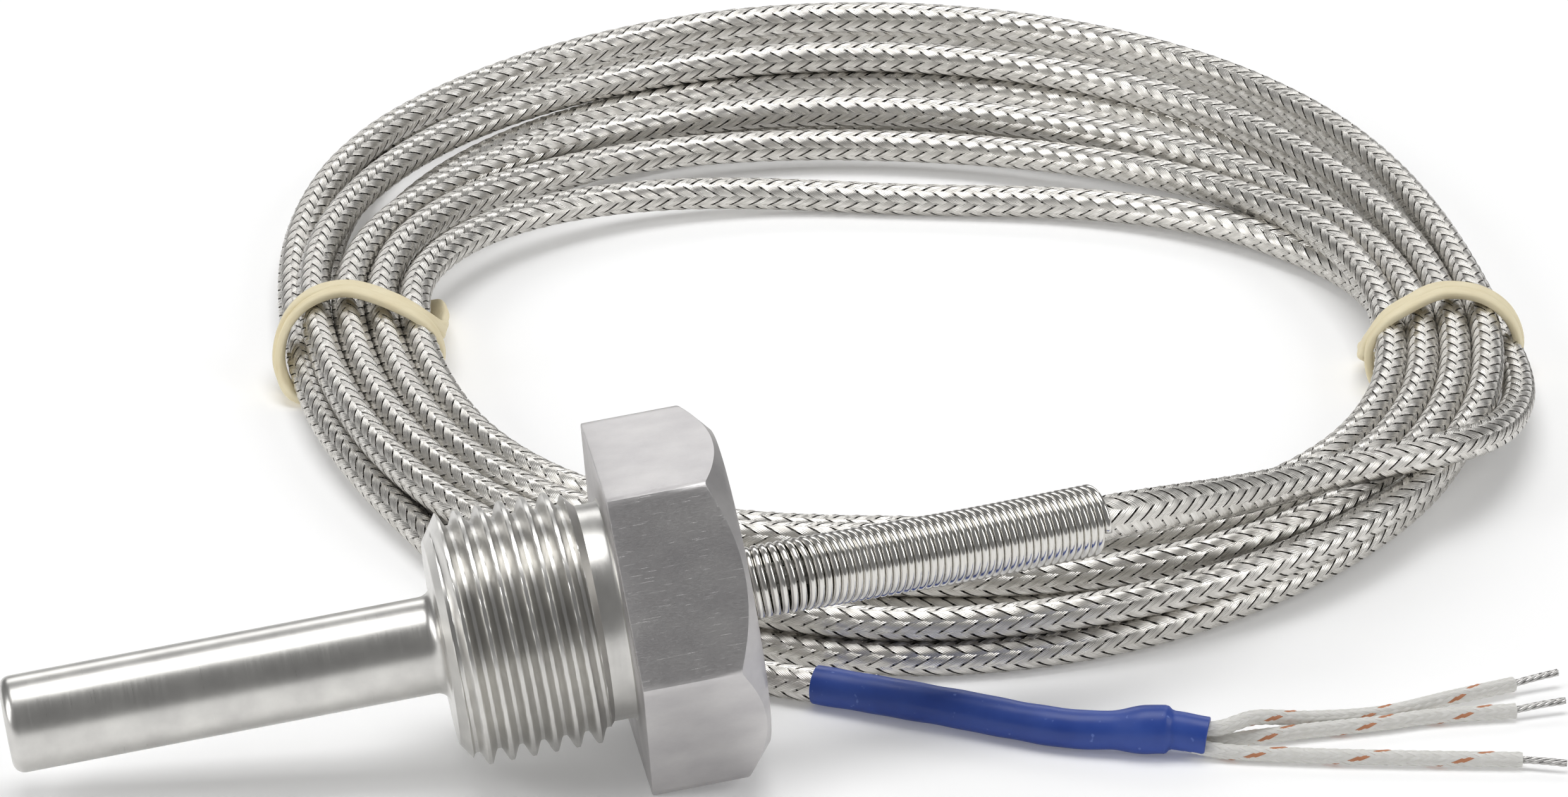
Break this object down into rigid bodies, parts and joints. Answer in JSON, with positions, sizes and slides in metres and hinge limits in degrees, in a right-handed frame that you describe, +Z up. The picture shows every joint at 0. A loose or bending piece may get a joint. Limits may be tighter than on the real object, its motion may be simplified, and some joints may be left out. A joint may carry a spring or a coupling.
{
  "type": "threaded temperature probe with braided lead",
  "caption": "Screw-in stainless temperature probe with hexagon, short stem, strain relief spring and coiled braided lead ending in bare wire ends.",
  "frame": {"origin": "centre of the probe's footprint on the surface it lies on, taken over the probe and its strain relief spring, without the lead", "axes": "+X from the stem's tip towards the lead's exit, +Y from the probe towards the coil, +Z up"},
  "size_m": [0.1325, 0.1737, 0.0281],
  "materials": {
    "machined_steel": "machined stainless steel, bright",
    "spring_steel": "drawn stainless spring wire",
    "steel_braid": "fine stainless wire braid",
    "ceramic": "fired white ceramic",
    "filler": "set heat-conducting powder",
    "tinned_copper": "tinned copper",
    "fibreglass": "woven fibreglass with a tan tracer, varnished",
    "potting": "set epoxy resin",
    "ferrule_brass": "plain brass",
    "sleeve_plastic": "shrunk blue tubing, satin",
    "band_rubber": "cream rubber, matt"
  },
  "bodies": {
    "root": {"threaded_body": "machined_steel", "sensing_element": "ceramic", "thermal_filler": "filler", "element_wire_a": "tinned_copper", "element_wire_b": "tinned_copper", "splice_crimp_a": "tinned_copper", "splice_crimp_b": "tinned_copper", "internal_wire_1": "fibreglass", "internal_wire_2": "fibreglass", "internal_wire_3": "fibreglass", "insulating_sleeve": "fibreglass", "potting_plug": "potting", "anchor_ferrule": "ferrule_brass", "strain_relief_spring": "spring_steel", "cable_lead_in": "steel_braid", "cable_coil": "steel_braid", "cable_tail": "steel_braid", "band_left": "band_rubber", "band_right": "band_rubber", "heat_shrink_sleeve": "sleeve_plastic", "braid_end_ferrule": "ferrule_brass", "lead_bundle": "fibreglass", "lead_a": "fibreglass", "lead_b": "fibreglass", "lead_c": "fibreglass", "bare_conductor_a": "tinned_copper", "bare_conductor_b": "tinned_copper", "bare_conductor_c": "tinned_copper"}
  },
  "joints": []
}
